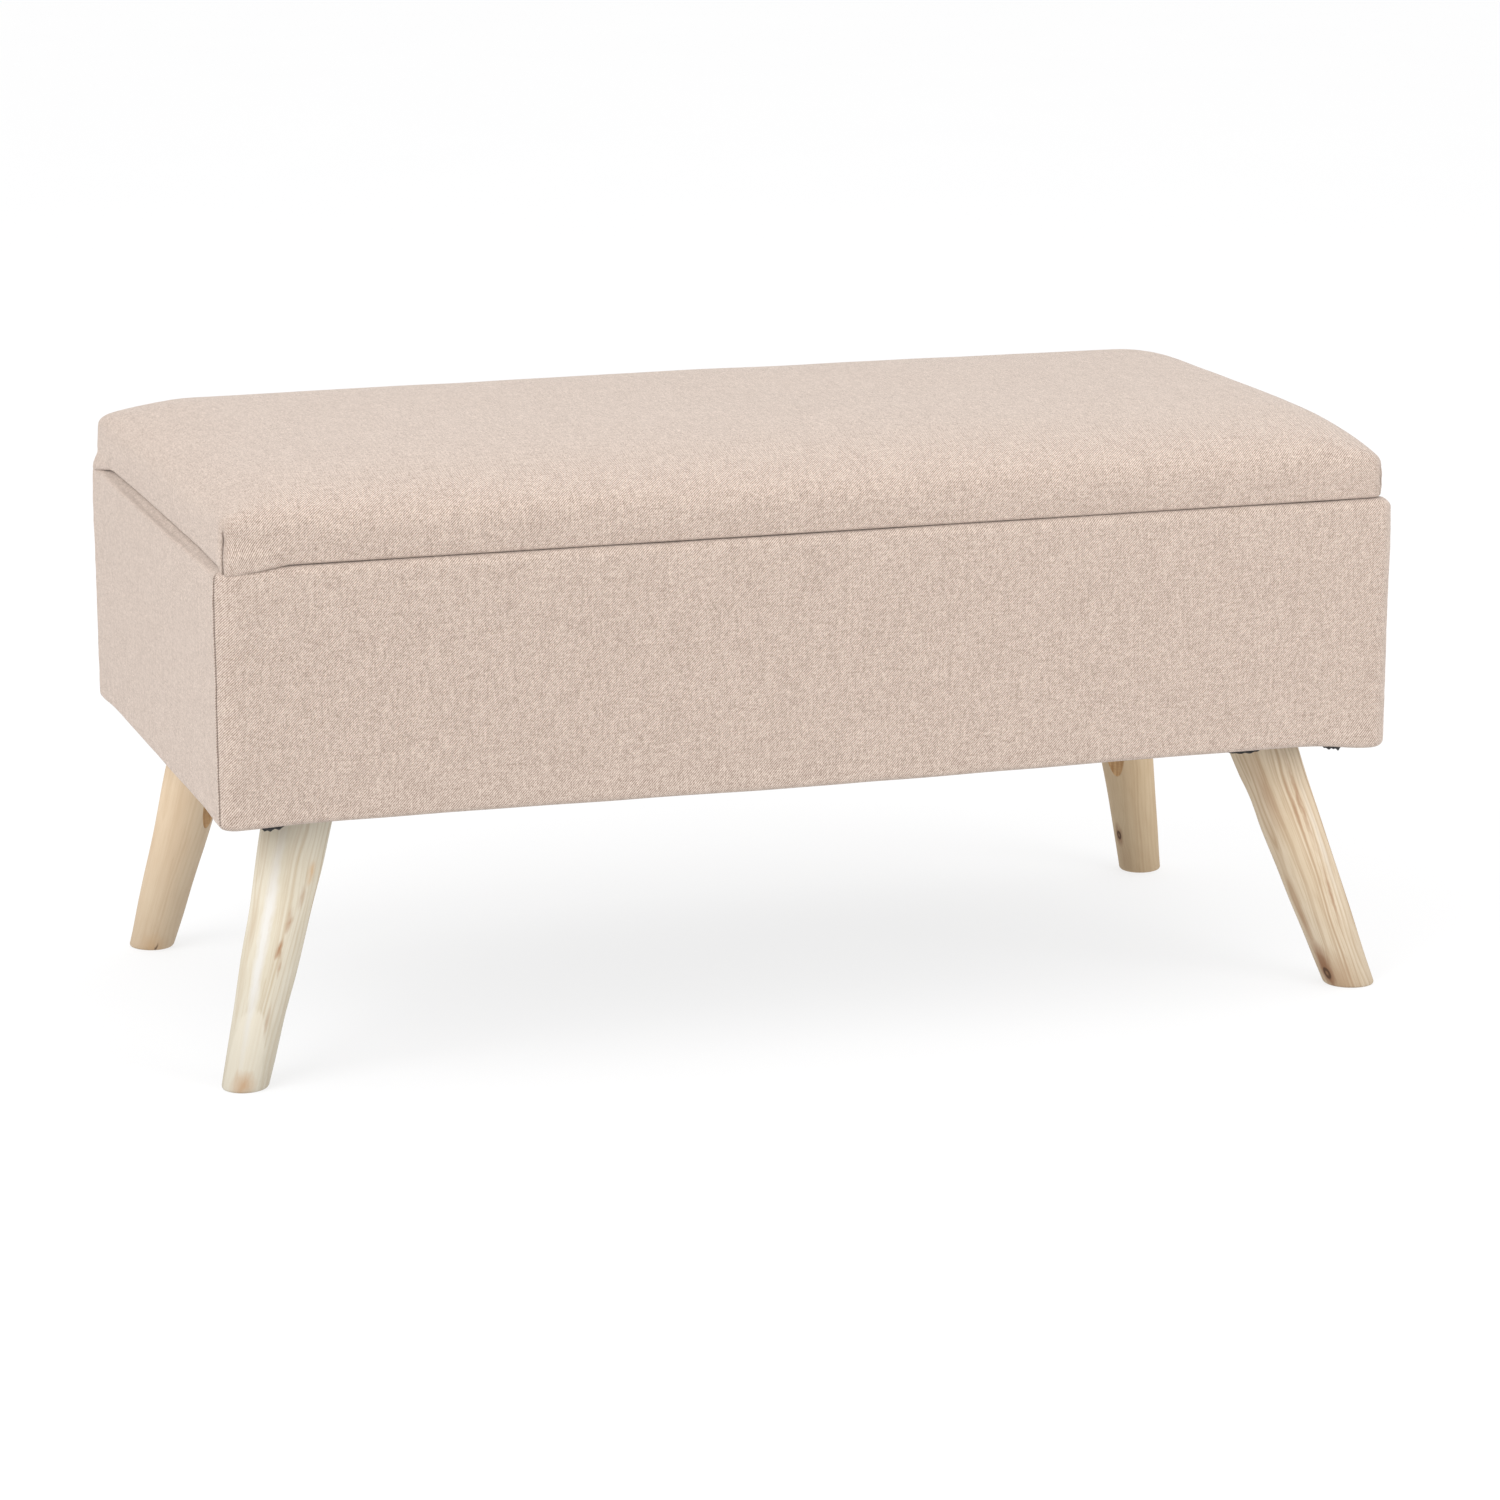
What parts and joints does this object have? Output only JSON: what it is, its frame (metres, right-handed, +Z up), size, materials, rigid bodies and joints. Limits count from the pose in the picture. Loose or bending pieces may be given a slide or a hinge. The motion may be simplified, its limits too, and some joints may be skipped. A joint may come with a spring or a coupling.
{
  "type": "storage bench",
  "caption": "Low upholstered storage bench: a fabric-covered box on splayed round wooden legs, with a padded lid hinged at the back and held open by slotted stays.",
  "frame": {"origin": "on the floor under the middle of the bench, the bottom centre of its box", "axes": "+X along the bench to its right end, +Y to its back, where the hinges are, +Z up"},
  "size_m": [0.809, 0.41, 0.4],
  "materials": {
    "cover_cloth": "heathered linen-look twill",
    "lining_cloth": "non-woven lining",
    "dust_cloth": "non-woven dust cloth",
    "foam": "open-cell foam",
    "board": "raw fibreboard",
    "leg_wood": "turned, natural, matt",
    "zinc_steel": "zinc plated"
  },
  "bodies": {
    "base": {"front_panel": "board", "back_panel": "board", "left_panel": "board", "right_panel": "board", "bottom_panel": "board", "body_padding": "foam", "body_cover": "cover_cloth", "storage_lining": "lining_cloth", "dust_cloth": "dust_cloth", "front_left_panel_screw_low": "zinc_steel", "front_left_panel_screw_high": "zinc_steel", "front_right_panel_screw_low": "zinc_steel", "front_right_panel_screw_high": "zinc_steel", "back_left_panel_screw_low": "zinc_steel", "back_left_panel_screw_high": "zinc_steel", "back_right_panel_screw_low": "zinc_steel", "back_right_panel_screw_high": "zinc_steel", "front_left_leg": "leg_wood", "front_left_leg_bolt": "zinc_steel", "front_left_tee_nut": "zinc_steel", "front_right_leg": "leg_wood", "front_right_leg_bolt": "zinc_steel", "front_right_tee_nut": "zinc_steel", "back_left_leg": "leg_wood", "back_left_leg_bolt": "zinc_steel", "back_left_tee_nut": "zinc_steel", "back_right_leg": "leg_wood", "back_right_leg_bolt": "zinc_steel", "back_right_tee_nut": "zinc_steel", "left_hinge_box_leaf": "zinc_steel", "left_hinge_pin": "zinc_steel", "left_hinge_box_screw_1": "zinc_steel", "left_hinge_box_screw_2": "zinc_steel", "right_hinge_box_leaf": "zinc_steel", "right_hinge_pin": "zinc_steel", "right_hinge_box_screw_1": "zinc_steel", "right_hinge_box_screw_2": "zinc_steel", "left_stay_stud": "zinc_steel", "right_stay_stud": "zinc_steel"},
    "lid": {"left_hinge_lid_leaf": "zinc_steel", "left_hinge_lid_screw_1": "zinc_steel", "left_hinge_lid_screw_2": "zinc_steel", "right_hinge_lid_leaf": "zinc_steel", "right_hinge_lid_screw_1": "zinc_steel", "right_hinge_lid_screw_2": "zinc_steel", "lid_board": "board", "lid_foam": "foam", "lid_cover": "cover_cloth", "lid_underside_cloth": "lining_cloth", "left_stay_bracket": "zinc_steel", "left_bracket_screw_1": "zinc_steel", "left_bracket_screw_2": "zinc_steel", "right_stay_bracket": "zinc_steel", "right_bracket_screw_1": "zinc_steel", "right_bracket_screw_2": "zinc_steel"},
    "left_stay": {"left_stay_arm": "zinc_steel"},
    "right_stay": {"right_stay_arm": "zinc_steel"}
  },
  "joints": [
    {"name": "lid_hinge", "type": "hinge", "parent": "base", "child": "lid", "pos_m": [0, 0.2, 0.3495], "axis": [-1, 0, 0], "range_deg": [0, 95]},
    {"name": "left_stay_pivot", "type": "hinge", "parent": "lid", "child": "left_stay", "pos_m": [-0.3763, 0.12597, 0.3375], "axis": [-1, 0, 0], "range_deg": [-47.5, 0]},
    {"name": "right_stay_pivot", "type": "hinge", "parent": "lid", "child": "right_stay", "pos_m": [0.3763, 0.12597, 0.3375], "axis": [-1, 0, 0], "range_deg": [-47.5, 0]}
  ],
  "couplings": [
    {"joint": "left_stay_pivot", "follows": "lid_hinge", "ratio": -0.5},
    {"joint": "right_stay_pivot", "follows": "lid_hinge", "ratio": -0.5}
  ]
}
